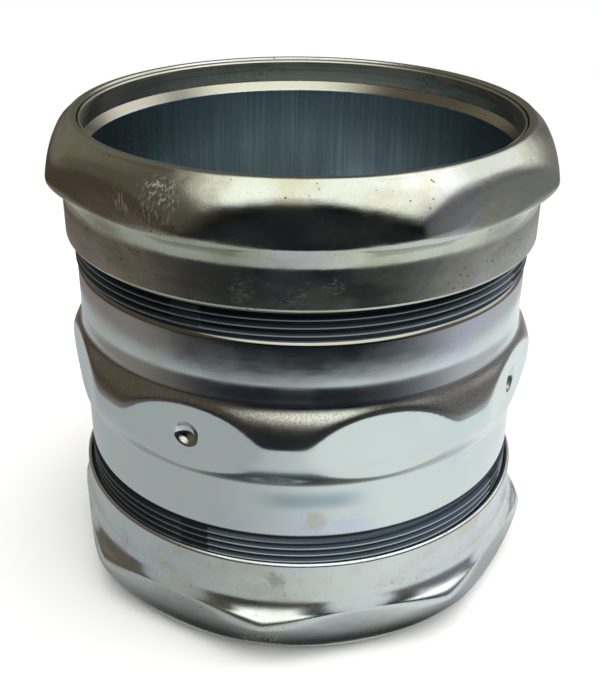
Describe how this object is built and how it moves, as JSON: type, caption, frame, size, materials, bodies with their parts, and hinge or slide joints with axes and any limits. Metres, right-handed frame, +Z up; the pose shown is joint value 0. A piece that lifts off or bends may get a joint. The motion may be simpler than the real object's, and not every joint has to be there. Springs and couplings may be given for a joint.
{
  "type": "conduit compression coupling",
  "caption": "Plated steel compression coupling for round conduit: threaded tube body with wrench belt and stop dimples, octagonal gland nuts and split gland rings at both ends.",
  "frame": {"origin": "centre of the base on the fitting's axis, in the plane of the lower nut's end that it stands on", "axes": "+Z up the fitting's axis out of the upper nut; -Y towards the viewer, square to a flat of the upper nut; +X to the viewer's right"},
  "size_m": [0.1076, 0.1076, 0.1032],
  "materials": {
    "body_zinc": "bright zinc plate, satin, faint blue and violet tints",
    "upper_nut_zinc": "bright zinc plate, pressed, scuffed and lightly pitted",
    "lower_nut_zinc": "bright zinc plate, pressed, scuffed and lightly pitted",
    "ring_steel": "zinc plated spring steel, turned, semi-gloss"
  },
  "bodies": {
    "body": {"coupling_body": "body_zinc"},
    "upper_ring": {"upper_gland_ring": "ring_steel"},
    "upper_nut": {"upper_gland_nut": "upper_nut_zinc"},
    "lower_ring": {"lower_gland_ring": "ring_steel"},
    "lower_nut": {"lower_gland_nut": "lower_nut_zinc"}
  },
  "joints": [
    {"name": "upper_ring_travel", "type": "slide", "parent": "body", "child": "upper_ring", "axis": [0, 0, 1], "range_m": [0, 0.0175]},
    {"name": "upper_nut_turn", "type": "hinge", "parent": "upper_ring", "child": "upper_nut", "pos_m": [0, 0, 0.0913], "axis": [0, 0, 1], "range_deg": [0, 3960]},
    {"name": "lower_ring_travel", "type": "slide", "parent": "body", "child": "lower_ring", "axis": [0, 0, -1], "range_m": [0, 0.0175]},
    {"name": "lower_nut_turn", "type": "hinge", "parent": "lower_ring", "child": "lower_nut", "pos_m": [0, 0, 0.0119], "axis": [0, 0, -1], "range_deg": [0, 3960]}
  ],
  "couplings": [
    {"joint": "upper_ring_travel", "follows": "upper_nut_turn", "m_per_rad": 0.00025266},
    {"joint": "lower_ring_travel", "follows": "lower_nut_turn", "m_per_rad": 0.00025266}
  ]
}
